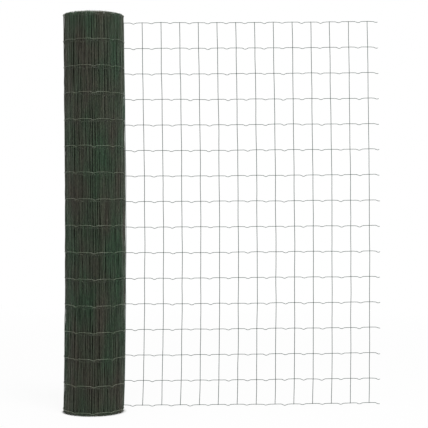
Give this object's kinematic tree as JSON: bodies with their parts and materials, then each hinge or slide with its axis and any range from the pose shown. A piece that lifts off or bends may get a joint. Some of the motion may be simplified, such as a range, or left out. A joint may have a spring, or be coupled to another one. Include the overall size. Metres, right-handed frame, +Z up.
{
  "type": "roll of welded wire fencing",
  "caption": "Upright roll of dark green plastic-coated welded wire fencing with an open bore, its free end standing out flat from the back of the roll.",
  "frame": {"origin": "on the axis of the roll's bore, at the level of the floor that the roll stands on", "axes": "+Z up along the bore, +X the way the free end runs, +Y from the roll's axis towards the back, where the free end leaves it"},
  "size_m": [1.2423, 0.235, 1.5387],
  "materials": {
    "coated_wire": "satin dark green plastic coat on steel wire"
  },
  "bodies": {
    "root": {"wound_roll": "coated_wire", "free_end": "coated_wire"}
  },
  "joints": []
}
